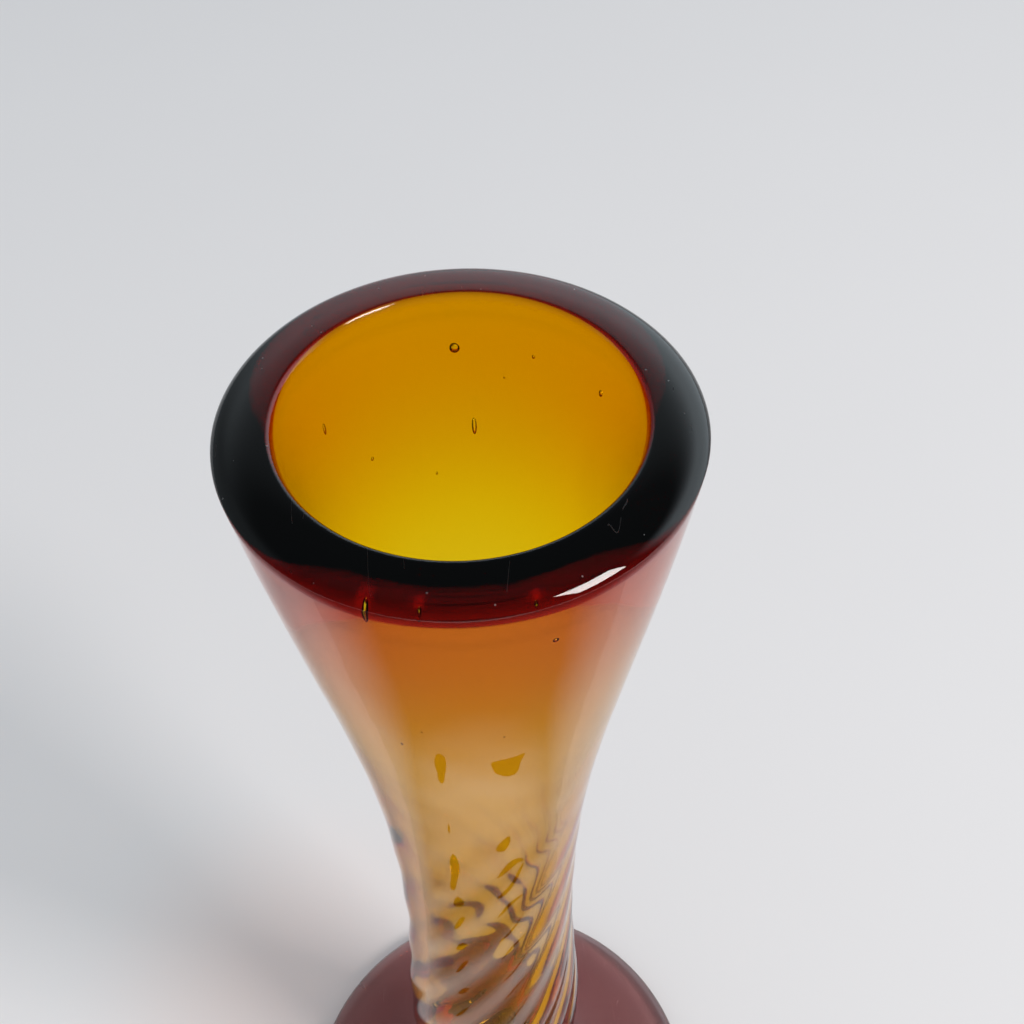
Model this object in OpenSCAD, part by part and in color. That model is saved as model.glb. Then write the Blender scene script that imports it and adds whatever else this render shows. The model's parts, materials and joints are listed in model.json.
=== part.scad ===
// Footed glass bud vase: a blown body with a flared mouth, a wrap of glass melted on to its rim,
// a button of glass under it, and a disc foot. Millimetres, +Z up, origin under the middle of the foot.

/* [Whole vase] */
// Height from the table to the top of the rim
height = 212; // [190:1:230]
// Outer diameter of the mouth, at the sharp shoulder of the rim
mouth_d = 55; // [50:0.5:60]

/* [Body] */
// Outer diameter of the neck at its narrowest
neck_d = 28.3; // [26:0.1:30]
// Height of the narrowest point of the neck
neck_z = 97; // [90:1:104]
// Outer diameter of the swelling above the foot
belly_d = 31.8; // [31:0.1:36]
// Height of the widest point of the swelling
belly_z = 54; // [50:1:60]
// Thickness of the blown wall away from the rim
wall = 2.8; // [2.2:0.1:3.4]
// Extra thickness of the wall under the rim
rim_gain = 4.8; // [3.6:0.1:5.4]
// Solid glass between the bottom of the hollow and the button
base_t = 9; // [6:0.5:12]

/* [Rim] */
// How far the top of the rim stands above its sharp outer shoulder
dome_h = 1.7; // [1.5:0.1:2.2]
// Diameter of the highest circle of the rim, near its inner edge
crest_d = 42.8; // [42.2:0.1:44]
// Height of the rounded inner edge of the rim
edge_h = 2.2; // [1.6:0.1:3]
// How far down the outside the wrap reaches from the top of the rim
wrap_h = 7; // [5:0.5:10]
// Width of the step on the body that carries the lower edge of the wrap
step_w = 0.6; // [0.5:0.1:1]

/* [Foot] */
// Diameter of the disc foot
foot_d = 82; // [76:1:88]
// Thickness of the rounded edge of the foot
edge_t = 5.2; // [4:0.1:6]
// Height of the top of the foot where the button sits
foot_h = 18; // [16:0.5:20]
// Diameter of the joint faces above and below the button
joint_d = 15; // [13:0.5:17]
// How far the button bulges past its joint faces
button_bulge = 2.2; // [1:0.1:3]
// Width of the flat ring that the vase stands on
ring_w = 5.4; // [3:0.2:7]
// Height of the hollow under the middle of the foot
kick_h = 3.6; // [2:0.1:5]
// Diameter of the ground spot where the rod was broken off
spot_d = 19; // [14:1:24]
// Depth of that spot above the hollow under the foot
spot_h = 0.8; // [0.4:0.1:1.2]

/* [Hidden] */
$fn = 96;

steps = 22;                        // straight steps in each long curve
short_steps = 12;                  // straight steps in each short curve
mouth_r = mouth_d / 2;
neck_r = neck_d / 2;
belly_r = belly_d / 2;
joint_r = joint_d / 2;
foot_r = foot_d / 2;
edge_r = edge_t / 2;
shoulder_z = height - dome_h;      // the sharp outer shoulder of the rim
crest_r = crest_d / 2;
edge_z = height - edge_h;          // where the rounded inner edge meets the inner wall
seam_z = height - wrap_h;          // the lower edge of the wrap
rim_peak = 9;                      // how far under the top of the rim its wall is thickest
rim_fade = 23;                     // how far down the extra thickness of the rim reaches
dome_tilt = 55;                    // how steeply the top of the rim ends at its shoulder, in degrees
dome_low_pull = 1.6;               // how far the top of the rim keeps that tilt
dome_high_pull = 3.2;              // how far it stays flat outside the highest circle
edge_top_pull = 0.6;               // how tightly the inner edge turns out of the top of the rim
edge_low_pull = 1.5;               // how tightly it turns into the inner wall
edge_lean = 0.28;                  // how far the inner wall leans back there
belly_drop = 31;                   // depth of the ellipse that closes the body under the belly
flare_low_pull = 0.46;             // how long the flare stays as slim as the neck, as a part of its rise
flare_high_pull = 0.385;           // how soon the flare turns outwards under the shoulder, as a part of its rise
flare_open = 0.45;                 // how wide the flare opens at the shoulder, as a part of its spread
waist_low_pull = 0.35;             // how long the waist stays as full as the belly, as a part of its rise
waist_high_pull = 0.4;             // how soon the waist is as slim as the neck, as a part of its rise
sweep_low_pull = 0.52;             // how steeply the foot falls away under the button, as a part of its fall
sweep_lean = 1.5;                  // how far that steep part leans outwards
sweep_middle = 0.5;                // where the foot turns flat, as a part of its radius
sweep_rise = 1.8;                  // how far the foot is above its edge there
kick_start = 4;                    // how far inside the ring the hollow under the foot starts to rise
kick_end = 9;                      // how far outside the ground spot it stops rising
edge_gap = 0.5;                    // least height of the first step of the inner wall under the rim

// A point on a cubic Bezier curve
function bezier(a, b, c, d, t) =
    pow(1 - t, 3) * a + 3 * pow(1 - t, 2) * t * b + 3 * (1 - t) * t * t * c + pow(t, 3) * d;

// The flare, from the neck at t = 0 to the shoulder of the rim at t = 1
flare_rise = shoulder_z - neck_z;
function flare(t) = bezier([neck_r, neck_z], [neck_r, neck_z + flare_low_pull * flare_rise],
    [mouth_r - flare_open * (mouth_r - neck_r), shoulder_z - flare_high_pull * flare_rise],
    [mouth_r, shoulder_z], t);

// The waist, from the belly at t = 0 up to the neck at t = 1
waist_rise = neck_z - belly_z;
function waist(t) = bezier([belly_r, belly_z], [belly_r, belly_z + waist_low_pull * waist_rise],
    [neck_r, neck_z - waist_high_pull * waist_rise], [neck_r, neck_z], t);

// The wall gets thicker towards the rim
function wall_at(z) = wall + rim_gain * exp(-pow((height - rim_peak - z) / rim_fade, 2));
function inside(p) = [p[0] - wall_at(p[1]), p[1]];

// The closed end of the body is part of an ellipse, down to the joint with the button
joint_angle = acos(joint_r / belly_r);
joint_z = belly_z - belly_drop * sin(joint_angle);
function closing(t) = [belly_r * cos(joint_angle * (1 - t)), belly_z - belly_drop * sin(joint_angle * (1 - t))];

// The hollow ends in part of an ellipse too
hollow_r = belly_r - wall_at(belly_z);
hollow_z = joint_z + base_t;
hollow_end = belly_z - hollow_z;
function hollow_curve(t) = [hollow_r * cos(90 * t), belly_z - hollow_end * sin(90 * t)];

// How far along the flare a given height is, found by halving
function flare_t(z, low = 0, high = 1, turns = 24) =
    turns == 0 ? (low + high) / 2
    : flare((low + high) / 2)[1] < z ? flare_t(z, (low + high) / 2, high, turns - 1)
    : flare_t(z, low, (low + high) / 2, turns - 1);

// The wrap sits on a cone that runs from a small step on the flare up to the highest circle of the rim
seam_t = flare_t(seam_z);
step_in = [flare(seam_t)[0] - step_w, seam_z];
crest = [crest_r, height];

// The top of the rim, from its sharp shoulder to its highest circle, and on round its inner edge
function rim_top(t) = bezier([mouth_r, shoulder_z],
    [mouth_r - dome_low_pull * cos(dome_tilt), shoulder_z + dome_low_pull * sin(dome_tilt)],
    [crest_r + dome_high_pull, height], crest, t);
inner_r = inside(flare(flare_t(edge_z)))[0];
function rim_edge(t) = bezier(crest, [inner_r + edge_top_pull, height],
    [inner_r + edge_lean, edge_z + edge_low_pull], [inner_r, edge_z], t);

module body() {
    outside_low = [for (i = [0:short_steps]) closing(i / short_steps)];
    outside_waist = [for (i = [1:short_steps]) waist(i / short_steps)];
    outside_flare = [for (i = [1:steps]) flare(seam_t * i / steps)];
    edge = [for (i = [0:short_steps]) rim_edge(i / short_steps)];
    inner_all = [for (i = [0:steps - 1]) inside(flare(1 - i / steps))];
    inner_flare = [for (p = inner_all) if (p[1] < edge_z - edge_gap) p];
    inner_waist = [for (i = [0:short_steps - 1]) inside(waist(1 - i / short_steps))];
    hollow = [for (i = [0:short_steps]) hollow_curve(i / short_steps)];
    color([0.80, 0.55, 0.12, 0.75])
        rotate_extrude()
            polygon(concat([[0, joint_z]], outside_low, outside_waist, outside_flare, [step_in], edge,
                inner_flare, inner_waist, hollow));
}

module lip_wrap() {
    side = [for (i = [0:short_steps]) flare(seam_t + (1 - seam_t) * i / short_steps)];
    top = [for (i = [1:short_steps]) rim_top(i / short_steps)];
    color([0.17, 0.08, 0.05, 0.9])
        rotate_extrude()
            polygon(concat([step_in], side, top));
}

module button() {
    bulge = [for (i = [0:short_steps])
        [joint_r + button_bulge * sin(180 * i / short_steps), foot_h + (joint_z - foot_h) * i / short_steps]];
    color([0.30, 0.16, 0.10, 0.9])
        rotate_extrude()
            polygon(concat([[0, foot_h]], bulge, [[0, joint_z]]));
}

module foot() {
    edge_in = foot_r - edge_r;
    ring_in = edge_in - ring_w;
    spot_r = spot_d / 2;
    sweep = [for (i = [0:steps]) bezier([joint_r, foot_h],
        [joint_r + sweep_lean, foot_h - sweep_low_pull * (foot_h - edge_t)],
        [sweep_middle * foot_r, edge_t + sweep_rise], [edge_in, edge_t], i / steps)];
    edge = [for (i = [1:short_steps])
        [edge_in + edge_r * sin(180 * i / short_steps), edge_r + edge_r * cos(180 * i / short_steps)]];
    hollow = [for (i = [0:short_steps]) bezier([ring_in, 0], [ring_in - kick_start, 0],
        [spot_r + kick_end, kick_h], [spot_r, kick_h], i / short_steps)];
    color([0.34, 0.22, 0.20, 0.9])
        rotate_extrude()
            polygon(concat([[0, foot_h]], sweep, edge, hollow, [[spot_r, kick_h + spot_h], [0, kick_h + spot_h]]));
}

body();
lip_wrap();
button();
foot();
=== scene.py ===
# %% [markdown]
# # A footed bud vase in amber glass
# The vase is hand-blown: a ribbed body with a heavy rim, a button of glass under it and a disc foot.
# This lesson builds the glass as closed meshes around the measured CAD model, gives it a colour that
# grows with thickness, and lights it like a plain studio with one window.

# %% Load the measured model
import json
import math

import bpy
import numpy as np
from mathutils import Matrix, Vector

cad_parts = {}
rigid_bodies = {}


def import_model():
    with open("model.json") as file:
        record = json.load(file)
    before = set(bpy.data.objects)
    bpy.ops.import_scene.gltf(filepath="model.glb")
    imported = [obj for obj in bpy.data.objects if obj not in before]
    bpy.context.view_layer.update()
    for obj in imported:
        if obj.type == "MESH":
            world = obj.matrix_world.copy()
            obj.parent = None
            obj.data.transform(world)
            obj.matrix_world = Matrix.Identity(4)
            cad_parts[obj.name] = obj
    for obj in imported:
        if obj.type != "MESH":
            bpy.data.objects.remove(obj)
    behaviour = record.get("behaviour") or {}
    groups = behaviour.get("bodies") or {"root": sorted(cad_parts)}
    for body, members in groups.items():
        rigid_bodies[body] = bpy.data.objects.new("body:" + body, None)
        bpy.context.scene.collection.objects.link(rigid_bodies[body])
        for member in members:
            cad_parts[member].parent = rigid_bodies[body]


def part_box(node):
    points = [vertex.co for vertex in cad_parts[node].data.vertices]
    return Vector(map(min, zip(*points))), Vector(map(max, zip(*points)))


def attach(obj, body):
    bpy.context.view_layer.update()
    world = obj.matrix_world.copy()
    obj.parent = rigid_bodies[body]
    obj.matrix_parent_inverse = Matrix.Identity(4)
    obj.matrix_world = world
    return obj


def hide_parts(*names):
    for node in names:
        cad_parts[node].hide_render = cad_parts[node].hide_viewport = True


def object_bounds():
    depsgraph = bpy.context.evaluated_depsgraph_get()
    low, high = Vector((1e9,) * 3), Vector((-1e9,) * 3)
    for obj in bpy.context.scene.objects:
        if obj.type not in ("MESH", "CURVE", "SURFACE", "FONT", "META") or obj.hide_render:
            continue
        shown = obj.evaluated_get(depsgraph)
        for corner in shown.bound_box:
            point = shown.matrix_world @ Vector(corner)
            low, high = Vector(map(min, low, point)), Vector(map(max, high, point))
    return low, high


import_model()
cad_low, cad_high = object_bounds()
MM = 0.001
print("CAD box:", [round(v / MM, 1) for v in (*cad_low, *cad_high)], "mm")

# %% [markdown]
# ## The camera
# A vase seen from above at arm's length needs a camera close to it, so that the mouth is large and the
# foot is small. The camera is turned by three angles, because that says in plain words how a person
# holds it: how far it looks down, how far it turns to the side, and how far it leans.

# %% The camera
LENS = 49.22
SENSOR = 36.0
CAMERA_AT = Vector((0.0, -0.10999, 0.31929))
LOOKS_DOWN = math.radians(48.482)
TURNS_RIGHT = math.radians(2.840)
LEANS = math.radians(-1.338)


def camera_turn(down, right, lean):
    """The camera's rotation from how far it looks down, turns to the right and leans."""
    ahead = Vector((math.sin(right) * math.cos(down), math.cos(right) * math.cos(down), -math.sin(down)))
    level = ahead.cross(Vector((0, 0, 1))).normalized()
    upward = level.cross(ahead)
    side = math.cos(lean) * level + math.sin(lean) * upward
    top = math.cos(lean) * upward - math.sin(lean) * level
    return Matrix((side, top, -ahead)).transposed().to_4x4()


camera_data = bpy.data.cameras.new("camera")
camera_data.lens = LENS
camera_data.sensor_width = SENSOR
camera_data.clip_start = 0.01
camera = bpy.data.objects.new("camera", camera_data)
camera.matrix_world = Matrix.Translation(CAMERA_AT) @ camera_turn(LOOKS_DOWN, TURNS_RIGHT, LEANS)
bpy.context.scene.collection.objects.link(camera)
bpy.context.scene.camera = camera
print("camera:", LENS, "mm lens,", round(CAMERA_AT.z / MM), "mm above the table")

# %% [markdown]
# ## Node trees from a script
# The room, the paints, the glass and the ribs of this vase are all node trees. They could be drawn by
# hand in the editor. Made in a script they can be read in order and changed in one place. Small helpers
# add a node, a sum and a soft change between two numbers. The last one turns an azimuth and a height into
# a direction.

# %% Helpers for node trees


def add(tree, kind, name, **settings):
    """A new named node with its settings."""
    made = tree.nodes.new(kind)
    made.name = made.label = name
    for key, value in settings.items():
        setattr(made, key, value)
    return made


def math_node(tree, name, operation, first, second=None, third=None):
    """A math node fed by sockets or plain numbers."""
    made = add(tree, "ShaderNodeMath", name, operation=operation)
    for slot, value in enumerate((first, second, third)):
        if value is None:
            continue
        if isinstance(value, (int, float)):
            made.inputs[slot].default_value = value
        else:
            tree.links.new(value, made.inputs[slot])
    return made.outputs[0]


def ramp(tree, name, value, low, high, start=0.0, end=1.0):
    """A smooth change from one number to another, while a value goes from low to high."""
    made = add(tree, "ShaderNodeMapRange", name, interpolation_type="SMOOTHSTEP")
    made.inputs["From Min"].default_value = low
    made.inputs["From Max"].default_value = high
    made.inputs["To Min"].default_value = start
    made.inputs["To Max"].default_value = end
    tree.links.new(value, made.inputs["Value"])
    return made.outputs["Result"]


def towards(azimuth, height):
    """The direction at an azimuth, which runs from +Y towards +X, and a height above level."""
    level = math.cos(height)
    return Vector((math.sin(azimuth) * level, math.cos(azimuth) * level, math.sin(height)))


print("level and along +X:", [round(v, 3) for v in towards(math.pi / 2, 0)])

# %% [markdown]
# ## The room
# Glass shows what is around it, so the surroundings are half of its look. A studio for glass has pale
# walls to the sides, a dark ceiling and a dark place behind the camera, so that the rim is not washed
# out. A picture of a room could light it too, but four strengths of light and their directions are
# easier to follow and to change. The Light Path node keeps this mirrored room apart from the even light
# that falls on the table.

# %% The strengths of the room's light
scene = bpy.context.scene
scene.view_settings.view_transform = "Standard"
room = bpy.data.worlds.new("room")
room.use_nodes = True
scene.world = room
walls = room.node_tree
sky = walls.nodes["Background"]
sky.inputs["Color"].default_value = (0.82, 0.93, 1.0, 1.0)
WALL_LIGHT = 0.22
CEILING_LIGHT = 0.08
BEHIND_LIGHT = 0.05
SIDE_LIGHT = 1.15
TABLE_LIGHT = 0.57
CEILING_FROM = math.radians(29)
CEILING_TO = math.radians(49)
SIDE_WAY = towards(math.radians(60), math.radians(25))
print("room:", WALL_LIGHT, "at the walls,", CEILING_LIGHT, "above,", TABLE_LIGHT, "on the table")

# %% The room's light by direction
direction = add(walls, "ShaderNodeTexCoord", "direction")


def facing(name, way, low, high):
    """1 where the room lies towards a direction, and 0 away from it, with a soft edge between."""
    turned = add(walls, "ShaderNodeVectorMath", name + " side", operation="DOT_PRODUCT")
    turned.inputs[1].default_value = way
    walls.links.new(direction.outputs["Generated"], turned.inputs[0])
    return ramp(walls, name, turned.outputs["Value"], low, high)


def blend_light(name, part, first, second):
    """Blends two strengths of light."""
    mixed = add(walls, "ShaderNodeMix", name, data_type="FLOAT")
    walls.links.new(part, mixed.inputs["Factor"])
    for socket, value in ((mixed.inputs["A"], first), (mixed.inputs["B"], second)):
        if isinstance(value, (int, float)):
            socket.default_value = value
        else:
            walls.links.new(value, socket)
    return mixed.outputs["Result"]


overhead = facing("ceiling", Vector((0, 0, 1)), math.sin(CEILING_FROM), math.sin(CEILING_TO))
behind = facing("behind the camera", Vector((0, -1, 0)), -0.1, 0.25)
side = facing("side wall", SIDE_WAY, -0.1, 1.0)
lit = math_node(walls, "lit wall", "MULTIPLY_ADD", side, SIDE_LIGHT, WALL_LIGHT)
above = blend_light("wall and ceiling", overhead, lit, CEILING_LIGHT)
mirrored = blend_light("all round", behind, above, BEHIND_LIGHT)
light_path = add(walls, "ShaderNodeLightPath", "light path")
from_table = math_node(walls, "from the table", "GREATER_THAN", light_path.outputs["Diffuse Depth"], 0.5)
for_table = blend_light("for the table", from_table, mirrored, TABLE_LIGHT)
strength = blend_light("for the eye", light_path.outputs["Is Camera Ray"], for_table, TABLE_LIGHT)
walls.links.new(strength, sky.inputs["Strength"])
print("room:", len(walls.nodes), "nodes")

# %% [markdown]
# ## The window
# One window gives the crisp highlights on the rim and the soft shadow on the table. A sun lamp would
# have no shape, and a lit plane gives a grainy shadow. An area light casts a soft shadow and also shows
# in the glass at its real size.

# %% The window
WINDOW_AZIMUTH = math.radians(124)
WINDOW_HEIGHT = math.radians(42)
WINDOW_AWAY = 1.5
WINDOW_WIDE = 0.53
WINDOW_TALL = 0.55
WINDOW_POWER = 15.5

window_data = bpy.data.lights.new("window", "AREA")
window_data.shape = "RECTANGLE"
window_data.size = WINDOW_WIDE
window_data.size_y = WINDOW_TALL
window_data.energy = WINDOW_POWER
window_data.color = (1.0, 0.985, 0.96)
window = bpy.data.objects.new("window", window_data)
window_way = towards(WINDOW_AZIMUTH, WINDOW_HEIGHT)
rim_middle = Vector((0, 0, cad_high.z))
window.location = rim_middle + WINDOW_AWAY * window_way
window.rotation_euler = window_way.to_track_quat("Z", "Y").to_euler()
scene.collection.objects.link(window)
print("window:", WINDOW_POWER, "W at", [round(v, 2) for v in window.location])

# %% [markdown]
# ## How far light is followed
# A ray crosses both walls of the vase, each with two faces, and bounces along inside the thick rim. Each
# face counts as one bounce, so glass needs many more of them than wood or metal, or its middle turns
# black.

# %% Light paths in thick glass
scene.cycles.max_bounces = 32
scene.cycles.transmission_bounces = 32
scene.cycles.glossy_bounces = 16
scene.cycles.sample_clamp_indirect = 8.0
print("bounces in glass:", scene.cycles.transmission_bounces)

# %% [markdown]
# ## The table
# The table gives the light that comes up through the wall, so its tone is the ground tone of all the
# amber. It is matt paint with a faint grain. Light that has passed the glass leaves an amber glow in the
# shadow. Tracing that caustic takes very many samples, so the glow is a soft round tint in the paint.

# %% Sizes of the table and its glow
TABLE_HALF = 3.0
TABLE_GAP = 0.02 * MM
GLOW_AT = (-0.050, 0.030, 0.0)
GLOW_WIDE = 0.055
PAINT_DARK = (0.845, 0.795, 0.79, 1.0)
PAINT_PALE = (0.865, 0.815, 0.81, 1.0)
PAINT_GLOW = (0.93, 0.78, 0.74, 1.0)


def plain_mesh(name, points, faces):
    """A new object from points and faces, linked to the scene."""
    mesh = bpy.data.meshes.new(name)
    mesh.from_pydata(points, [], faces)
    mesh.validate()
    made = bpy.data.objects.new(name, mesh)
    scene.collection.objects.link(made)
    return made


corners = [(x * TABLE_HALF, y * TABLE_HALF, -TABLE_GAP) for x, y in ((-1, -1), (1, -1), (1, 1), (-1, 1))]
table = plain_mesh("table", corners, [(0, 1, 2, 3)])
print("table:", 2 * TABLE_HALF, "m wide")

# %% The paint of the table
table_paint = bpy.data.materials.new("table_paint")
table_paint.use_nodes = True
tree = table_paint.node_tree
paint = tree.nodes["Principled BSDF"]
where = add(tree, "ShaderNodeTexCoord", "where")
grain = add(tree, "ShaderNodeTexNoise", "grain of the paint")
grain.inputs["Scale"].default_value = 9.0
grain.inputs["Detail"].default_value = 6.0
tree.links.new(where.outputs["Object"], grain.inputs["Vector"])
tone = add(tree, "ShaderNodeMix", "tone", data_type="RGBA")
tone.inputs["A"].default_value = PAINT_DARK
tone.inputs["B"].default_value = PAINT_PALE
tree.links.new(grain.outputs[0], tone.inputs["Factor"])
from_glow = add(tree, "ShaderNodeVectorMath", "from the glow", operation="DISTANCE")
from_glow.inputs[1].default_value = GLOW_AT
tree.links.new(where.outputs["Object"], from_glow.inputs[0])
fading = ramp(tree, "fading", from_glow.outputs["Value"], 0.0, GLOW_WIDE, start=1.0, end=0.0)
glow = add(tree, "ShaderNodeMix", "amber glow", data_type="RGBA")
tree.links.new(fading, glow.inputs["Factor"])
tree.links.new(tone.outputs["Result"], glow.inputs["A"])
glow.inputs["B"].default_value = PAINT_GLOW
tree.links.new(glow.outputs["Result"], paint.inputs["Base Color"])
paint.inputs["Roughness"].default_value = 0.7
paint.inputs["Specular IOR Level"].default_value = 0.2
table.data.materials.append(table_paint)
print("table paint:", len(tree.nodes), "nodes")

# %% [markdown]
# ## Painted shade before the vase
# The front of a vase mirrors the table before it, and that pale veil hides the amber. The person at the
# camera leaves a soft shadow on the table there, so a sheet of painted shade lies there. It is seen in
# reflections only, so it is a painted reflection that darkens the veil and nothing else. It is pale close
# to the vase and out to the sides, where the real glass looks grey. Two small dark patches on it are
# painted reflections of dark things near the camera, and leave two clear amber patches in the veil.

# %% Sizes of the painted shade
SHADE_NEAR = 0.040
SHADE_DARK = 0.073
SHADE_FAR = 0.42
SHADE_NARROW = math.radians(42)
SHADE_WIDE = math.radians(92)
SHADE_LIFT = 0.2 * MM
PATCH_LIFT = 0.4 * MM
PATCH_POINTS = 48


def mirrored_only(made):
    """Leaves an object to be seen in reflections and nowhere else."""
    made.visible_camera = False
    made.visible_diffuse = False
    made.visible_transmission = False
    made.visible_shadow = False


# Painted shade: a sheet seen only in reflections stands in for the soft shadow on the table before the vase.
corners = [(x * SHADE_FAR, y * SHADE_FAR, SHADE_LIFT) for x, y in ((-1, -1), (1, -1), (1, 0), (-1, 0))]
shade_sheet = plain_mesh("dark_card", corners, [(0, 1, 2, 3)])
mirrored_only(shade_sheet)
print("card:", 2 * SHADE_FAR, "m wide, dark from", round(SHADE_DARK / MM), "mm out")

# %% The painted shade on the sheet
shade_sheet_paint = bpy.data.materials.new("shade_sheet_paint")
shade_sheet_paint.use_nodes = True
tree = shade_sheet_paint.node_tree
where = add(tree, "ShaderNodeTexCoord", "where")
flat = add(tree, "ShaderNodeSeparateXYZ", "flat")
tree.links.new(where.outputs["Object"], flat.inputs[0])
sideways = math_node(tree, "sideways", "ABSOLUTE", flat.outputs["X"])
ahead = math_node(tree, "ahead", "MULTIPLY", flat.outputs["Y"], -1.0)
turn_away = math_node(tree, "turn away", "ARCTAN2", sideways, ahead)
away = add(tree, "ShaderNodeVectorMath", "away", operation="LENGTH")
tree.links.new(where.outputs["Object"], away.inputs[0])
# Painted shade: dark further out and straight ahead of the vase, pale close to it and out to the sides.
near_light = ramp(tree, "near", away.outputs["Value"], SHADE_NEAR, SHADE_DARK, 0.98, 0.10)
side_light = ramp(tree, "beside", turn_away, SHADE_NARROW, SHADE_WIDE, 0.0, 0.66)
shade = math_node(tree, "shade", "MAXIMUM", near_light, side_light)
felt = add(tree, "ShaderNodeTexNoise", "felt")
felt.inputs["Scale"].default_value = 30.0
tree.links.new(where.outputs["Object"], felt.inputs["Vector"])
nap = math_node(tree, "nap", "MULTIPLY_ADD", felt.outputs[0], 0.02, 0.99)
felted = math_node(tree, "felted", "MULTIPLY", shade, nap)
tree.links.new(felted, tree.nodes["Principled BSDF"].inputs["Base Color"])
tree.nodes["Principled BSDF"].inputs["Roughness"].default_value = 0.8
shade_sheet.data.materials.append(shade_sheet_paint)
print("card paint:", len(tree.nodes), "nodes")

# %% The paint of the dark patches
dark_patch_paint = bpy.data.materials.new("dark_patch_paint")
dark_patch_paint.use_nodes = True
tree = dark_patch_paint.node_tree
veins = add(tree, "ShaderNodeTexNoise", "veins")
veins.inputs["Scale"].default_value = 400.0
tree.links.new(add(tree, "ShaderNodeTexCoord", "where").outputs["Object"], veins.inputs["Vector"])
dark_patch_tone = math_node(tree, "petal tone", "MULTIPLY", veins.outputs[0], 0.02)
tree.links.new(dark_patch_tone, tree.nodes["Principled BSDF"].inputs["Base Color"])
tree.nodes["Principled BSDF"].inputs["Roughness"].default_value = 0.9
print("petal paint:", len(tree.nodes), "nodes")

# %% The two dark patches


def dark_patch(name, middle, along, across):
    """A small dark patch before the vase that paints a reflection, from its middle and two half lengths in
    mm.
    """
    around = np.linspace(0, 2 * math.pi, PATCH_POINTS, endpoint=False)
    pointed = np.sin(around) * (1 - 0.3 * np.cos(around) ** 2)
    flat = np.outer(np.cos(around), along) + np.outer(pointed, across) + middle
    outline = [(x * MM, y * MM, PATCH_LIFT) for x, y in flat]
    made = plain_mesh(name, outline, [tuple(range(PATCH_POINTS))])
    mirrored_only(made)
    made.data.materials.append(dark_patch_paint)
    print(name, "at", middle, "mm")


# Painted reflections: two dark patches seen only in reflections give the dark shapes mirrored from near the
# camera.
dark_patch("left_petal", middle=(-37.5, -45.0), along=(-4.4, 5.9), across=(-2.9, -2.2))
dark_patch("right_petal", middle=(25.0, -50.0), along=(15.5, 5.6), across=(2.4, 2.8))

# %% [markdown]
# ## The body's outline
# A blown vase is round, so one outline turned about its axis makes it. The outline is a few smooth
# curves that meet without a kink: the closed bottom, the swelling, the slim neck, the flare and the
# rolled rim, and then the inner wall back down to the bottom of the hollow. Their sizes are those of the
# CAD model. The body and the wrap on its rim are one mesh here, because fused glass has no face between
# its gathers.

# %% Sizes of the body
MOUTH_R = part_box("lip_wrap")[1].x
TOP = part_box("lip_wrap")[1].z
NECK_R = 14.15 * MM
NECK_Z = 97 * MM
BELLY_R = 15.9 * MM
BELLY_Z = 54 * MM
BELLY_DROP = 31 * MM
JOINT_R = 7.5 * MM
JOINT_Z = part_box("button")[1].z
BASE_T = 9 * MM
SHOULDER_Z = TOP - 1.7 * MM
EDGE_Z = TOP - 2.2 * MM
CREST_R = 21.4 * MM
DOME_TILT = math.radians(55)
WALL = 2.8 * MM
RIM_GAIN = 4.8 * MM
RIM_PEAK = TOP - 9 * MM
RIM_FADE = 23 * MM
FLARE_LOW_PULL = 0.46
FLARE_HIGH_PULL = 0.385
FLARE_OPEN = 0.45
WAIST_LOW_PULL = 0.35
WAIST_HIGH_PULL = 0.4
DOME_LOW_PULL = 1.6 * MM
DOME_HIGH_PULL = 3.2 * MM
EDGE_TOP_PULL = 0.6 * MM
EDGE_LOW_PULL = 1.5 * MM
EDGE_LEAN = 0.28 * MM
EDGE_GAP = 0.5 * MM
print("mouth", round(2 * MOUTH_R / MM, 1), "mm, height", round(TOP / MM, 1), "mm")

# %% Curves of the outline


def bezier(a, b, c, d, count):
    """Points along a cubic Bezier curve, both ends included."""
    a, b, c, d = (np.array(p) for p in (a, b, c, d))
    t = np.linspace(0, 1, count)[:, None]
    return (1 - t) ** 3 * a + 3 * (1 - t) ** 2 * t * b + 3 * (1 - t) * t**2 * c + t**3 * d


def quarter(centre, reach, start, end, count):
    """Points on part of an ellipse, from one angle in degrees to another."""
    turn = np.radians(np.linspace(start, end, count))
    return np.stack([centre[0] + reach[0] * np.cos(turn), centre[1] + reach[1] * np.sin(turn)], axis=1)


def wall_at(height):
    """How thick the wall is at a height: it thickens towards the rim."""
    return WALL + RIM_GAIN * np.exp(-(((RIM_PEAK - height) / RIM_FADE) ** 2))


def inside(outline):
    """The inner wall's points for points on the outer wall."""
    return np.stack([outline[:, 0] - wall_at(outline[:, 1]), outline[:, 1]], axis=1)


flare_rise = SHOULDER_Z - NECK_Z
flare = bezier(
    (NECK_R, NECK_Z),
    (NECK_R, NECK_Z + FLARE_LOW_PULL * flare_rise),
    (MOUTH_R - FLARE_OPEN * (MOUTH_R - NECK_R), SHOULDER_Z - FLARE_HIGH_PULL * flare_rise),
    (MOUTH_R, SHOULDER_Z),
    80,
)
waist_rise = NECK_Z - BELLY_Z
waist = bezier(
    (BELLY_R, BELLY_Z),
    (BELLY_R, BELLY_Z + WAIST_LOW_PULL * waist_rise),
    (NECK_R, NECK_Z - WAIST_HIGH_PULL * waist_rise),
    (NECK_R, NECK_Z),
    34,
)
joint_angle = math.degrees(math.acos(JOINT_R / BELLY_R))
closing = quarter((0, BELLY_Z), (BELLY_R, BELLY_DROP), -joint_angle, 0, 26)
print("outer wall:", len(flare) + len(waist) + len(closing), "points")

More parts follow.
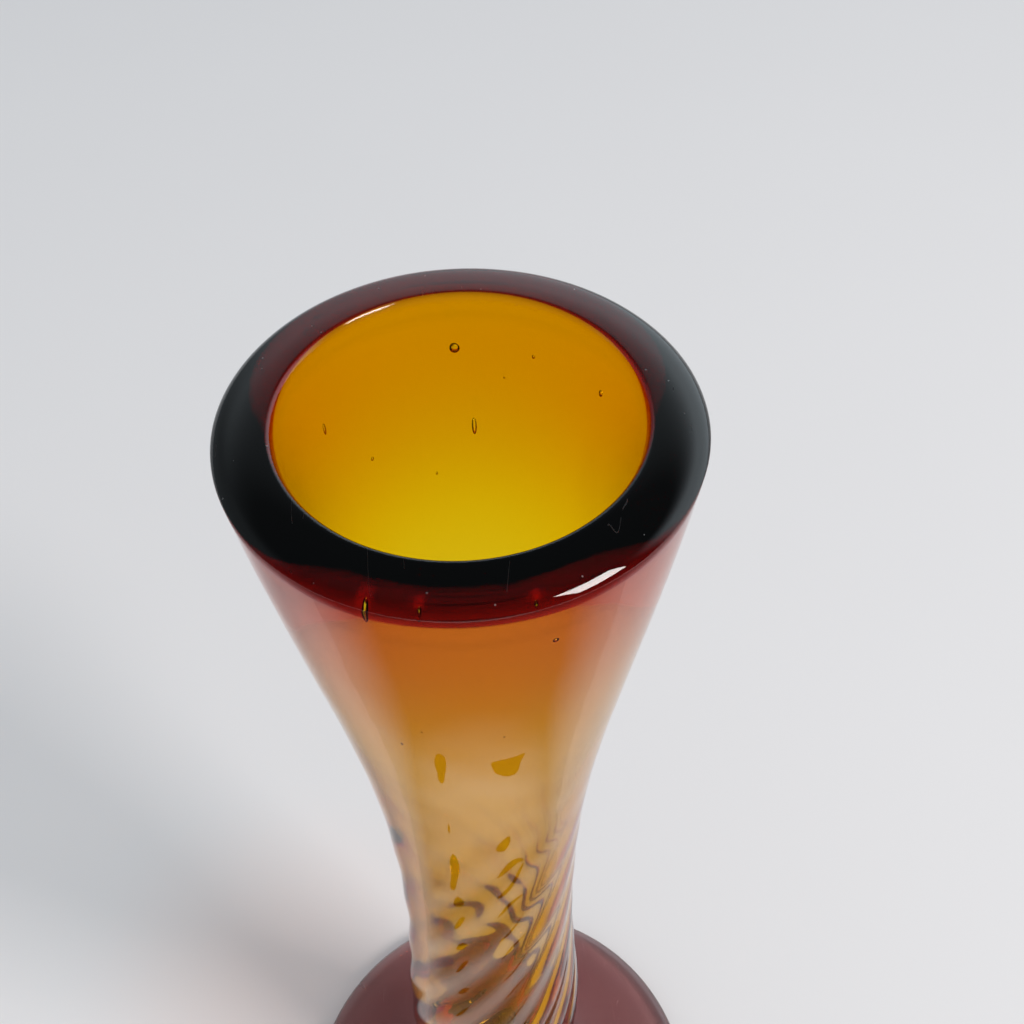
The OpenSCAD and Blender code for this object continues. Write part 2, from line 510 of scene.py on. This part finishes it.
# %% The rim and the inner wall
edge_r = float(np.interp(EDGE_Z, flare[:, 1], flare[:, 0])) - float(wall_at(EDGE_Z))
dome = bezier(
    (MOUTH_R, SHOULDER_Z),
    (MOUTH_R - DOME_LOW_PULL * math.cos(DOME_TILT), SHOULDER_Z + DOME_LOW_PULL * math.sin(DOME_TILT)),
    (CREST_R + DOME_HIGH_PULL, TOP),
    (CREST_R, TOP),
    30,
)
rim_inside = bezier(
    (CREST_R, TOP),
    (edge_r + EDGE_TOP_PULL, TOP),
    (edge_r + EDGE_LEAN, EDGE_Z + EDGE_LOW_PULL),
    (edge_r, EDGE_Z),
    30,
)
inner_flare = inside(flare[flare[:, 1] < EDGE_Z - EDGE_GAP])[::-1]
inner_waist = inside(waist)[::-1]
hollow_r = BELLY_R - wall_at(BELLY_Z)
hollow = quarter((0, BELLY_Z), (hollow_r, BELLY_Z - JOINT_Z - BASE_T), 0, -90, 26)
base_disc = np.array([[0.0, JOINT_Z], [0.4 * JOINT_R, JOINT_Z], [0.8 * JOINT_R, JOINT_Z]])
outer_parts = [base_disc, closing, waist[1:], flare[1:], dome[1:]]
inner_parts = [rim_inside[1:], inner_flare, inner_waist[1:], hollow[1:]]
body_outline = np.concatenate(outer_parts + inner_parts)
body_outline[-1, 0] = 0.0
print("whole outline:", len(body_outline), "points; inner edge", round(2 * edge_r / MM, 1), "mm wide")

# %% [markdown]
# ## Turning the outline
# Blender's Screw modifier could turn the outline too. A short function is used instead, because it
# closes the two ends on the axis with one point each, so the glass has no seam and no hole. Light needs
# that: glass tells its inside from its outside by closed faces that all point outwards.

# %% A lathe for closed shapes
AROUND = 256


def lathe(name, outline, around=AROUND):
    """Turns an outline about the axis: a ring if it misses the axis, or closed by two poles if not."""
    turn = np.linspace(0, 2 * math.pi, around, endpoint=False)
    ring_shaped = outline[0][0] > 0
    rings = outline if ring_shaped else outline[1:-1]
    points = []
    for r, z in rings:
        points += [(float(r * c), float(r * s), float(z)) for c, s in zip(np.cos(turn), np.sin(turn))]
    faces = []
    for ring in range(len(rings) - (0 if ring_shaped else 1)):
        low = ring * around
        high = (ring + 1) % len(rings) * around
        for i in range(around):
            following = (i + 1) % around
            faces.append((low + i, low + following, high + following, high + i))
    if not ring_shaped:
        bottom = len(points)
        last_ring = bottom - around
        points += [(0.0, 0.0, float(outline[0][1])), (0.0, 0.0, float(outline[-1][1]))]
        faces += [(bottom, (i + 1) % around, i) for i in range(around)]
        faces += [(last_ring + i, last_ring + (i + 1) % around, bottom + 1) for i in range(around)]
    made = plain_mesh(name, points, faces)
    made.data.shade_smooth()
    return made


body_blank = lathe("body_blank", body_outline)
print("body blank:", len(body_blank.data.polygons), "faces")

# %% [markdown]
# ## The leaning rim
# The mouth of a hand-blown vase is never quite level. The blank is round, so its points are lowered
# towards the back, more and more with height. A Lattice modifier could do it, but one short rule on the
# points is exact and leaves no modifier behind.

# %% Lean the rim
LEAN = 0.7 * MM
LEAN_FROM = 150 * MM
points = np.empty(len(body_blank.data.vertices) * 3, dtype=np.float32)
body_blank.data.vertices.foreach_get("co", points)
points = points.reshape(-1, 3)
t = np.clip((points[:, 2] - LEAN_FROM) / (TOP - LEAN_FROM), 0, 1)
points[:, 2] -= LEAN * t * t * (points[:, 1] + MOUTH_R) / (2 * MOUTH_R)
body_blank.data.vertices.foreach_set("co", points.ravel())
print("the back of the rim is", round(LEAN / MM, 1), "mm lower than the front")

# %% [markdown]
# ## Optic ribs
# The glassmaker dips the hot gather in a ribbed mould and twists it while it is drawn out, so the wall
# swells along a set of slanting lines. Ten curves with a bevel could be laid on the wall, but glass
# would show the join. So a Geometry Nodes tree moves each point of the wall along its normal by a wave
# that turns with height. First each point gets its share in the ribs, which fade out up the neck. The
# inner wall's faces look at the axis, so its share is negative to make it follow the outer wall.

# %% Where the ribs are deep
RIB_LOW = 30 * MM
RIB_FULL = 48 * MM
RIB_FADE_FROM = 66 * MM
RIB_FADE_TO = 160 * MM
OUTER_SHARE = 1.0
INNER_SHARE = -0.4


def smooth(low, high, value):
    """0 below low, 1 above high, and smooth between them."""
    t = np.clip((value - low) / (high - low), 0, 1)
    return t * t * (3 - 2 * t)


def rib_strength(outline, around=AROUND):
    """How much each point of the lathe takes part in the ribs: the inner wall follows the outer by less."""
    crest = int(np.argmax(outline[:, 1]))
    share = np.where(np.arange(len(outline)) <= crest, OUTER_SHARE, INNER_SHARE)
    height = outline[:, 1]
    share = share * smooth(RIB_LOW, RIB_FULL, height) * (1 - smooth(RIB_FADE_FROM, RIB_FADE_TO, height))
    share = share * (outline[:, 0] > 0.5 * NECK_R)
    return np.concatenate([np.repeat(share[1:-1], around), share[:1], share[-1:]])


ribbed = body_blank.data.attributes.new("rib", "FLOAT", "POINT")
ribbed.data.foreach_set("value", rib_strength(body_outline).astype(np.float32))
print("ribbed from", RIB_LOW / MM, "to", RIB_FADE_TO / MM, "mm")

# %% [markdown]
# ## The dark skin of the rim
# The wrap of glass on the rim is so thick that light which enters it hardly comes out again, and its top
# looks nearly black. Following that light takes more bounces than a render can afford. So a number on
# each point says how much it belongs to the dark top, and the glass is tinted there. Small tears in that
# skin let amber through.

# %% Tears in the skin
tears = []


def tear(azimuth, middle, wide, long):
    """Notes one clear tear: degrees from +X, distance from the axis and two half lengths in mm."""
    tears.append((math.radians(azimuth), middle * MM, wide * MM, long * MM))


tear(azimuth=246.6, middle=26.4, wide=0.55, long=1.0)
tear(azimuth=258.6, middle=26.0, wide=0.40, long=0.6)
tear(azimuth=284.0, middle=26.2, wide=0.45, long=0.5)
print("tears in the skin:", len(tears))

# %% How much each point belongs to the skin
SEAM_Z = TOP - 7 * MM
SEAM_WIDE = 0.5 * MM
SEAM_SKIN = 0.3
SHOULDER_SKIN = 0.75
SKIN_LOW = SHOULDER_Z - 1.5 * MM
SKIN_EDGE_FROM = edge_r + 0.1 * MM
SKIN_EDGE_TO = edge_r + 1.2 * MM
SKIN_SHOULDER_FROM = MOUTH_R - 1.0 * MM
SKIN_SHOULDER_TO = MOUTH_R + 0.5 * MM


def rim_skin(outline, around=AROUND):
    """1 on the top of the rim, fading out towards its shoulder and over its inner edge."""
    r, z = outline[:, 0], outline[:, 1]
    top = smooth(SKIN_LOW, SHOULDER_Z, z)
    seam = SEAM_SKIN * np.exp(-(((z - SEAM_Z) / SEAM_WIDE) ** 2)) * (r > 0.9 * MOUTH_R)
    from_edge = smooth(SKIN_EDGE_FROM, SKIN_EDGE_TO, r)
    at_shoulder = 1 - (1 - SHOULDER_SKIN) * smooth(SKIN_SHOULDER_FROM, SKIN_SHOULDER_TO, r)
    skin = np.repeat((np.maximum(top, seam) * from_edge * at_shoulder)[1:-1], around)
    turn = np.tile(np.linspace(0, 2 * math.pi, around, endpoint=False), len(r) - 2)
    across = np.repeat(r[1:-1], around)
    for azimuth, middle, wide, long in tears:
        beside = (turn - azimuth) * across / wide
        along = (across - middle) / long
        skin = skin * (1 - np.exp(-(beside**2) - along**4))
    return np.concatenate([skin, [0.0, 0.0]])


dark_skin = body_blank.data.attributes.new("skin", "FLOAT", "POINT")
dark_skin.data.foreach_set("value", rim_skin(body_outline).astype(np.float32))
print("dark skin above", round(SHOULDER_Z / MM, 1), "mm")

# %% [markdown]
# ## The tree of the ribs
# The tree reads each point's place and its share in the ribs, works out the wave and moves the point. A
# noise makes the wall uneven, as blown glass is. The depth, the number and the twist are inputs of the
# tree, so another vase of this kind needs other numbers and no other tree.

# %% Inputs and results of a geometry tree


def new_input(tree, name, kind, value=None):
    """A named input of a tree."""
    made = tree.interface.new_socket(name, in_out="INPUT", socket_type=kind)
    if value is not None:
        made.default_value = value
    return made.identifier


def apply_nodes(blank, tree, values, name):
    """Runs a tree on an object and keeps the result as a plain mesh on a new object."""
    modifier = blank.modifiers.new(tree.name, "NODES")
    modifier.node_group = tree
    for identifier, value in values.items():
        modifier[identifier] = value
    graph = bpy.context.evaluated_depsgraph_get()
    mesh = bpy.data.meshes.new_from_object(blank.evaluated_get(graph))
    blank.modifiers.remove(modifier)
    bpy.data.objects.remove(blank)
    mesh.name = name
    made = bpy.data.objects.new(name, mesh)
    scene.collection.objects.link(made)
    return made


# %% The inputs of the optic twist
twist = bpy.data.node_groups.new("optic twist", "GeometryNodeTree")
new_input(twist, "Glass", "NodeSocketGeometry")
rib_count = new_input(twist, "Ribs", "NodeSocketFloat", 10.0)
rib_depth = new_input(twist, "Depth", "NodeSocketFloat", 0.0004)
rib_turn = new_input(twist, "Turn per metre", "NodeSocketFloat", 33.0)
ripple_height = new_input(twist, "Ripple", "NodeSocketFloat", 0.00005)
ripple_scale = new_input(twist, "Ripples per metre", "NodeSocketFloat", 80.0)
seed_points = new_input(twist, "Bubbles", "NodeSocketObject")
glass_finish = new_input(twist, "Finish", "NodeSocketMaterial")
twist.interface.new_socket("Glass", in_out="OUTPUT", socket_type="NodeSocketGeometry")
given = add(twist, "NodeGroupInput", "sizes")
result = add(twist, "NodeGroupOutput", "result")
print("optic twist:", len(twist.interface.items_tree), "sockets")

# %% The wave that turns with height
place = add(twist, "GeometryNodeInputPosition", "place")
axes = add(twist, "ShaderNodeSeparateXYZ", "axes")
twist.links.new(place.outputs[0], axes.inputs[0])
azimuth = math_node(twist, "azimuth", "ARCTAN2", axes.outputs["Y"], axes.outputs["X"])
turned = math_node(twist, "turned", "MULTIPLY", axes.outputs["Z"], given.outputs["Turn per metre"])
slant = math_node(twist, "slant", "SUBTRACT", azimuth, turned)
phase = math_node(twist, "phase", "MULTIPLY", slant, given.outputs["Ribs"])
wave = math_node(twist, "wave", "COSINE", phase)
share = add(twist, "GeometryNodeInputNamedAttribute", "share", data_type="FLOAT")
share.inputs["Name"].default_value = "rib"
shaped = math_node(twist, "shaped", "MULTIPLY", wave, share.outputs["Attribute"])
height = math_node(twist, "height", "MULTIPLY", shaped, given.outputs["Depth"])
outwards = add(twist, "GeometryNodeInputNormal", "outwards")
push = add(twist, "ShaderNodeVectorMath", "push", operation="SCALE")
twist.links.new(outwards.outputs[0], push.inputs[0])
twist.links.new(height, push.inputs["Scale"])
print("ribs:", len(twist.nodes), "nodes so far")

# %% The uneven wall
uneven = add(twist, "ShaderNodeTexNoise", "uneven")
uneven.inputs["Detail"].default_value = 1.0
twist.links.new(place.outputs[0], uneven.inputs["Vector"])
twist.links.new(given.outputs["Ripples per metre"], uneven.inputs["Scale"])
swing = math_node(twist, "swing", "SUBTRACT", uneven.outputs[0], 0.5)
ripple = math_node(twist, "ripple", "MULTIPLY", swing, given.outputs["Ripple"])
level = add(twist, "ShaderNodeVectorMath", "level", operation="MULTIPLY")
level.inputs[1].default_value = (1.0, 1.0, 0.0)
twist.links.new(outwards.outputs[0], level.inputs[0])
wobble = add(twist, "ShaderNodeVectorMath", "wobble", operation="SCALE")
twist.links.new(level.outputs[0], wobble.inputs[0])
twist.links.new(ripple, wobble.inputs["Scale"])
print("uneven wall:", len(twist.nodes), "nodes so far")

# %% Move the wall's points
moved = add(twist, "ShaderNodeVectorMath", "moved", operation="ADD")
twist.links.new(push.outputs[0], moved.inputs[0])
twist.links.new(wobble.outputs[0], moved.inputs[1])
press = add(twist, "GeometryNodeSetPosition", "press")
twist.links.new(given.outputs["Glass"], press.inputs["Geometry"])
twist.links.new(moved.outputs[0], press.inputs["Offset"])
print("optic twist:", len(twist.nodes), "nodes so far")

# %% [markdown]
# ## Air bubbles
# Bubbles are air inside the glass, so each is a closed surface whose faces point into the air, and it
# belongs to the same mesh as the glass around it. The tree puts one small ball on each point, stretched
# along the vase as the glass was drawn out. Their places and sizes are stored on a little cloud of
# points.

# %% The bubbles' places
inner_wall = np.concatenate([rim_inside[1:], inner_flare, inner_waist[1:]])[::-1]
places = []
sizes = []
stretches = []


def bubble(azimuth, height, behind, size, stretch=1.0):
    """Notes one bubble: degrees from +X, height, depth behind the inner wall and half width in mm."""
    r = float(np.interp(height * MM, inner_wall[:, 1], inner_wall[:, 0])) + behind * MM
    turn = math.radians(azimuth)
    places.append((r * math.cos(turn), r * math.sin(turn), height * MM))
    sizes.append(size * MM)
    stretches.append(stretch)


bubble(azimuth=90.5, height=203.4, behind=1.7, size=0.72)
bubble(azimuth=84.6, height=191.0, behind=1.3, size=0.36, stretch=4.2)
bubble(azimuth=148.8, height=200.6, behind=1.2, size=0.28, stretch=3.2)
bubble(azimuth=61.5, height=203.6, behind=1.2, size=0.22, stretch=1.3)
bubble(azimuth=30.5, height=203.8, behind=1.2, size=0.36, stretch=1.3)
bubble(azimuth=128.2, height=190.2, behind=1.2, size=0.24, stretch=1.4)
bubble(azimuth=72.3, height=199.7, behind=1.0, size=0.15)
bubble(azimuth=101.0, height=183.0, behind=1.0, size=0.16, stretch=2.0)
bubble(azimuth=246.6, height=208.8, behind=5.9, size=0.34, stretch=4.0)
bubble(azimuth=258.6, height=209.4, behind=5.6, size=0.20, stretch=3.4)
bubble(azimuth=284.0, height=209.4, behind=5.8, size=0.22, stretch=2.2)
bubble(azimuth=289.0, height=202.5, behind=6.6, size=0.36)
bubble(azimuth=245.1, height=177.3, behind=3.3, size=0.16, stretch=2.0)
bubble(azimuth=253.2, height=182.5, behind=4.0, size=0.14)
bubble(azimuth=277.3, height=181.2, behind=3.8, size=0.14)
bubble(azimuth=222.0, height=74.7, behind=1.4, size=0.50, stretch=1.4)
cloud = plain_mesh("bubble_points", places, [])
radius = cloud.data.attributes.new("radius", "FLOAT", "POINT")
stretch = cloud.data.attributes.new("stretch", "FLOAT", "POINT")
radius.data.foreach_set("value", sizes)
stretch.data.foreach_set("value", stretches)
print("bubbles:", len(places))

# %% The tree blows the bubbles and joins them to the glass
points_from = add(twist, "GeometryNodeObjectInfo", "points from")
twist.links.new(given.outputs["Bubbles"], points_from.inputs["Object"])
ball = add(twist, "GeometryNodeMeshIcoSphere", "ball")
ball.inputs["Radius"].default_value = 1.0
ball.inputs["Subdivisions"].default_value = 3
hollow_ball = add(twist, "GeometryNodeFlipFaces", "air inside")
twist.links.new(ball.outputs["Mesh"], hollow_ball.inputs["Mesh"])
size = add(twist, "GeometryNodeInputNamedAttribute", "size", data_type="FLOAT")
size.inputs["Name"].default_value = "radius"
drawn = add(twist, "GeometryNodeInputNamedAttribute", "drawn", data_type="FLOAT")
drawn.inputs["Name"].default_value = "stretch"
long = math_node(twist, "long", "MULTIPLY", size.outputs["Attribute"], drawn.outputs["Attribute"])
shape = add(twist, "ShaderNodeCombineXYZ", "shape")
twist.links.new(size.outputs["Attribute"], shape.inputs["X"])
twist.links.new(size.outputs["Attribute"], shape.inputs["Y"])
twist.links.new(long, shape.inputs["Z"])
blow = add(twist, "GeometryNodeInstanceOnPoints", "blow")
twist.links.new(points_from.outputs["Geometry"], blow.inputs["Points"])
twist.links.new(hollow_ball.outputs["Mesh"], blow.inputs["Instance"])
twist.links.new(shape.outputs[0], blow.inputs["Scale"])
joined = add(twist, "GeometryNodeJoinGeometry", "joined")
twist.links.new(press.outputs["Geometry"], joined.inputs["Geometry"])
twist.links.new(blow.outputs["Instances"], joined.inputs["Geometry"])
real = add(twist, "GeometryNodeRealizeInstances", "real")
twist.links.new(joined.outputs["Geometry"], real.inputs["Geometry"])
rounded = add(twist, "GeometryNodeSetShadeSmooth", "rounded")
twist.links.new(real.outputs["Geometry"], rounded.inputs["Geometry"])
finished = add(twist, "GeometryNodeSetMaterial", "finished")
twist.links.new(rounded.outputs["Geometry"], finished.inputs["Geometry"])
twist.links.new(given.outputs["Finish"], finished.inputs["Material"])
twist.links.new(finished.outputs["Geometry"], result.inputs["Glass"])
print("optic twist:", len(twist.nodes), "nodes")

# %% [markdown]
# ## Amber glass
# The colour of glass is in its depth: a thin wall is golden, and a thick rim is nearly black. A coloured
# surface would be one amber all over. So the surface is clear and the colour is an absorption inside the
# closed mesh, which takes blue quickly, green slowly and red least. The button and the foot look
# purple-brown, so their glass has three numbers of its own.

# %% The colour in the depth
AMBER_RED = 28.0
AMBER_GREEN = 140.0
AMBER_BLUE = 1500.0
FOOT_RED = 50.0
FOOT_GREEN = 135.0
FOOT_BLUE = 118.0
print("amber halves green light in", round(math.log(2) / AMBER_GREEN / MM, 1), "mm")

# %% [markdown]
# ## Dust and scratches
# A handled vase has a few specks of dust and fine rubbed lines on its top faces, and they tell the eye
# that the dark rim is a surface. Both are patterns that every glass here uses, so each is a shader
# group, built once, with its sizes as named inputs. The dust takes one speck out of some cells of a
# Voronoi pattern. The scratches are the thin lines along which a stretched noise crosses its middle
# value.

# %% A new shader group


def new_group(name, inputs, output):
    """A shader node group with named number inputs, its place in the object, and one output."""
    made = bpy.data.node_groups.new(name, "ShaderNodeTree")
    made.interface.new_socket("Place", in_out="INPUT", socket_type="NodeSocketVector")
    for title, value in inputs:
        made.interface.new_socket(title, in_out="INPUT", socket_type="NodeSocketFloat").default_value = value
    made.interface.new_socket(output, in_out="OUTPUT", socket_type="NodeSocketFloat")
    start = add(made, "NodeGroupInput", "start")
    end = add(made, "NodeGroupOutput", "end")
    return made, start, end


# %% Dust specks
dust_inputs = (("Specks per metre", 900.0), ("Speck size", 0.11), ("Share", 0.16))
dust, start, end = new_group("dust", dust_inputs, "Dust")
cells = add(dust, "ShaderNodeTexVoronoi", "cells")
dust.links.new(start.outputs["Place"], cells.inputs["Vector"])
dust.links.new(start.outputs["Specks per metre"], cells.inputs["Scale"])
near = math_node(dust, "near the speck", "LESS_THAN", cells.outputs["Distance"], start.outputs["Speck size"])
chance = add(dust, "ShaderNodeSeparateColor", "chance")
dust.links.new(cells.outputs["Color"], chance.inputs[0])
chosen = math_node(dust, "chosen", "LESS_THAN", chance.outputs[0], start.outputs["Share"])
facing_up = add(dust, "ShaderNodeNewGeometry", "faces")
heading = add(dust, "ShaderNodeSeparateXYZ", "heading")
dust.links.new(facing_up.outputs["True Normal"], heading.inputs[0])
upwards = math_node(dust, "upwards", "GREATER_THAN", heading.outputs["Z"], 0.35)
speck = math_node(dust, "speck", "MULTIPLY", near, chosen)
settled = math_node(dust, "settled", "MULTIPLY", speck, upwards)
dust.links.new(settled, end.inputs["Dust"])
print("dust:", len(dust.nodes), "nodes")

# %% Fine scratches
marks_inputs = (("Lines per metre", 60.0), ("Width", 0.001), ("Share", 0.42))
marks, start, end = new_group("scratches", marks_inputs, "Marks")
HANDLED_AREAS = 210.0
stretched = add(marks, "ShaderNodeVectorMath", "stretched", operation="MULTIPLY")
stretched.inputs[1].default_value = (2.4, 0.22, 1.0)
marks.links.new(start.outputs["Place"], stretched.inputs[0])
wander = add(marks, "ShaderNodeTexNoise", "wander")
wander.inputs["Detail"].default_value = 2.0
marks.links.new(stretched.outputs[0], wander.inputs["Vector"])
marks.links.new(start.outputs["Lines per metre"], wander.inputs["Scale"])
away_from_line = math_node(marks, "from the line", "SUBTRACT", wander.outputs[0], 0.5)
distance = math_node(marks, "distance", "ABSOLUTE", away_from_line)
line = math_node(marks, "line", "LESS_THAN", distance, start.outputs["Width"])
areas = add(marks, "ShaderNodeTexNoise", "areas")
areas.inputs["Scale"].default_value = HANDLED_AREAS
marks.links.new(start.outputs["Place"], areas.inputs["Vector"])
handled = math_node(marks, "handled", "LESS_THAN", areas.outputs[0], start.outputs["Share"])
faces = add(marks, "ShaderNodeNewGeometry", "faces")
heading = add(marks, "ShaderNodeSeparateXYZ", "heading")
marks.links.new(faces.outputs["True Normal"], heading.inputs[0])
on_top = math_node(marks, "on top", "GREATER_THAN", heading.outputs["Z"], 0.75)
rubbed = math_node(marks, "rubbed", "MULTIPLY", handled, on_top)
worn = math_node(marks, "worn", "MULTIPLY", line, rubbed)
marks.links.new(worn, end.inputs["Marks"])
print("scratches:", len(marks.nodes), "nodes")

# %% [markdown]
# ## One recipe for every glass
# Every glass here is a Principled surface that lets all light through, with a dusty coat where specks
# lie and a colour in its depth. One function makes it from three numbers, so that the amber and the
# foot's glass can't drift apart. Seen edge-on, real glass mirrors its surroundings and goes grey, so a
# Layer Weight node paints a light cool tint there as a painted reflection.

# %% The recipe
CLEAR = (1.0, 1.0, 1.0, 1.0)
EDGE_REFLECTION_TINT = (0.60, 0.76, 0.84, 1.0)
GLASS_IOR = 1.52


def group_in(tree, group, name, place, **values):
    """Puts a shared group into a material and sets its inputs."""
    made = add(tree, "ShaderNodeGroup", name, node_tree=group)
    tree.links.new(place, made.inputs["Place"])
    for title, value in values.items():
        made.inputs[title.replace("_", " ")].default_value = value
    return made.outputs[0]


def glass(name, red, green, blue):
    """Clear fire-polished glass with dust, scratches and an absorption per metre for red, green and blue."""
    made = bpy.data.materials.new(name)
    made.use_nodes = True
    tree = made.node_tree
    surface = tree.nodes["Principled BSDF"]
    surface.inputs["Transmission Weight"].default_value = 1.0
    surface.inputs["IOR"].default_value = GLASS_IOR
    surface.inputs["Coat Roughness"].default_value = 0.6
    surface.inputs["Coat IOR"].default_value = 2.4
    # Painted reflection: towards edge-on the colour turns a light cool grey, standing in for the mirrored
    # room.
    slanting = add(tree, "ShaderNodeLayerWeight", "slanting").outputs["Facing"]
    edge_on = ramp(tree, "edge on", slanting, 0.45, 0.95)
    edge_reflection = add(tree, "ShaderNodeMix", "edge tint", data_type="RGBA")
    tree.links.new(edge_on, edge_reflection.inputs["Factor"])
    edge_reflection.inputs["A"].default_value = CLEAR
    edge_reflection.inputs["B"].default_value = EDGE_REFLECTION_TINT
    tree.links.new(edge_reflection.outputs["Result"], surface.inputs["Base Color"])
    place = add(tree, "ShaderNodeTexCoord", "place").outputs["Object"]
    specks = group_in(tree, dust, "dust", place, Specks_per_metre=900.0, Speck_size=0.11, Share=0.16)
    scratches = group_in(tree, marks, "scratches", place, Lines_per_metre=60.0, Width=0.0010, Share=0.42)
    tree.links.new(specks, surface.inputs["Coat Weight"])
    half_dull = math_node(tree, "speck dull", "MULTIPLY", specks, 0.5)
    dull = math_node(tree, "dull", "MAXIMUM", half_dull, scratches)
    rough = math_node(tree, "rough", "MULTIPLY", dull, 0.55)
    tree.links.new(rough, surface.inputs["Roughness"])
    depth = add(tree, "ShaderNodeVolumeAbsorption", "colour in the depth")
    depth.inputs["Color"].default_value = (1 - red / blue, 1 - green / blue, 0.0, 1.0)
    depth.inputs["Density"].default_value = blue
    tree.links.new(depth.outputs["Volume"], tree.nodes["Material Output"].inputs["Volume"])
    return made


amber = glass("amber_glass", AMBER_RED, AMBER_GREEN, AMBER_BLUE)
foot_amber = glass("foot_glass", FOOT_RED, FOOT_GREEN, FOOT_BLUE)
print("glasses:", amber.name, "and", foot_amber.name)

# %% The dark skin's group
SKIN_TINT = (0.07, 0.075, 0.08, 1.0)
skin_group = bpy.data.node_groups.new("dark skin", "ShaderNodeTree")
skin_group.interface.new_socket("Glass", in_out="INPUT", socket_type="NodeSocketColor")
skin_group.interface.new_socket("Tint", in_out="INPUT", socket_type="NodeSocketColor")
skin_group.interface.new_socket("Skin", in_out="INPUT", socket_type="NodeSocketFloat")
skin_group.interface.new_socket("Glass", in_out="OUTPUT", socket_type="NodeSocketColor")
start = add(skin_group, "NodeGroupInput", "start")
end = add(skin_group, "NodeGroupOutput", "end")
blended = add(skin_group, "ShaderNodeMix", "blended", data_type="RGBA")
skin_group.links.new(start.outputs["Skin"], blended.inputs["Factor"])
skin_group.links.new(start.outputs["Glass"], blended.inputs["A"])
skin_group.links.new(start.outputs["Tint"], blended.inputs["B"])
skin_group.links.new(blended.outputs["Result"], end.inputs["Glass"])

tree = amber.node_tree
skin_part = add(tree, "ShaderNodeAttribute", "skin of the rim", attribute_name="skin")
dark_rim = add(tree, "ShaderNodeGroup", "dark skin", node_tree=skin_group)
dark_rim.inputs["Tint"].default_value = SKIN_TINT
tree.links.new(tree.nodes["edge tint"].outputs["Result"], dark_rim.inputs["Glass"])
tree.links.new(skin_part.outputs["Fac"], dark_rim.inputs["Skin"])
tree.links.new(dark_rim.outputs["Glass"], tree.nodes["Principled BSDF"].inputs["Base Color"])
print("dark skin:", len(skin_group.nodes), "nodes")

# %% [markdown]
# ## Pressing the body
# Now the blank meets the tree. The inputs are set by their identifiers before the modifier first runs,
# and the result is kept as a plain mesh, because a model that travels to other programs can't take the
# tree with it.

# %% Press the ribs and blow the bubbles
body = apply_nodes(
    body_blank,
    twist,
    {
        rib_count: 10.0,
        rib_depth: 0.18 * MM,
        rib_turn: 38.0,
        ripple_height: 0.12 * MM,
        ripple_scale: 75.0,
        seed_points: cloud,
        glass_finish: amber,
    },
    "ribbed_body",
)
bpy.data.objects.remove(cloud)
print("body:", len(body.data.polygons), "faces")

# %% [markdown]
# ## The button and the foot
# The foot is a disc of glass that sinks from the button to a rounded edge. It is hollow underneath, so
# that the vase stands on a ring, and it has a ground spot where the glassmaker's rod was broken off. The
# button is a small bead between the foot and the body. Both are turned on the same lathe as the body.
# Where they meet they overlap by a hair, so that light doesn't find a sliver of air between them.

# %% Sizes of the button and the foot
SEAM_LAP = 0.03 * MM
FOOT_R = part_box("foot")[1].x
FOOT_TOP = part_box("foot")[1].z
EDGE_R = 2.6 * MM
EDGE_TOP = 2 * EDGE_R
RING_W = 5.4 * MM
KICK_H = 3.6 * MM
SPOT_R = 9.5 * MM
SPOT_H = 0.8 * MM
BULGE = 2.2 * MM
SWEEP_LEAN = 1.5 * MM
SWEEP_LOW_PULL = 0.52
SWEEP_MIDDLE = 0.5
SWEEP_RISE = 1.8 * MM
KICK_START = 4 * MM
KICK_END = 9 * MM
SPOT_CHAMFER = 0.3 * MM
print("foot:", round(2 * FOOT_R / MM, 1), "mm wide,", round(FOOT_TOP / MM, 1), "mm high")

# %% Turn the button
bulge_turn = np.linspace(0, math.pi, 25)
button_side = np.stack(
    [JOINT_R + BULGE * np.sin(bulge_turn), FOOT_TOP + (JOINT_Z - FOOT_TOP) * bulge_turn / math.pi], axis=1
)
button_outline = np.concatenate([[[0, FOOT_TOP]], button_side, [[0, JOINT_Z + SEAM_LAP]]])
button = lathe("button_glass", button_outline)
button.data.materials.append(foot_amber)
print("button:", len(button.data.polygons), "faces")

# %% Turn the foot
edge_in = FOOT_R - EDGE_R
sweep = bezier(
    (JOINT_R, FOOT_TOP),
    (JOINT_R + SWEEP_LEAN, FOOT_TOP - SWEEP_LOW_PULL * (FOOT_TOP - EDGE_TOP)),
    (SWEEP_MIDDLE * FOOT_R, EDGE_TOP + SWEEP_RISE),
    (edge_in, EDGE_TOP),
    60,
)
edge = quarter((edge_in, EDGE_R), (EDGE_R, EDGE_R), 90, -90, 24)
ring_in = edge_in - RING_W
kick = bezier((ring_in, 0), (ring_in - KICK_START, 0), (SPOT_R + KICK_END, KICK_H), (SPOT_R, KICK_H), 40)
spot_z = KICK_H + SPOT_H
spot = np.array([[SPOT_R - SPOT_CHAMFER, spot_z], [0.5 * SPOT_R, spot_z], [0, spot_z]])
foot_outline = np.concatenate([[[0, FOOT_TOP + SEAM_LAP]], sweep, edge[1:], kick, spot])[::-1]
foot = lathe("foot_disc", foot_outline)
foot.data.materials.append(foot_amber)
print("foot:", len(foot.data.polygons), "faces")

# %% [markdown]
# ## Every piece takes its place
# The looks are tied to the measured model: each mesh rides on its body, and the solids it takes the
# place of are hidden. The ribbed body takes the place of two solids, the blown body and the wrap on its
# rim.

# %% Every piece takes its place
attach(body, "root")
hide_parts("body", "lip_wrap")
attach(button, "root")
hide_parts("button")
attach(foot, "root")
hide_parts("foot")
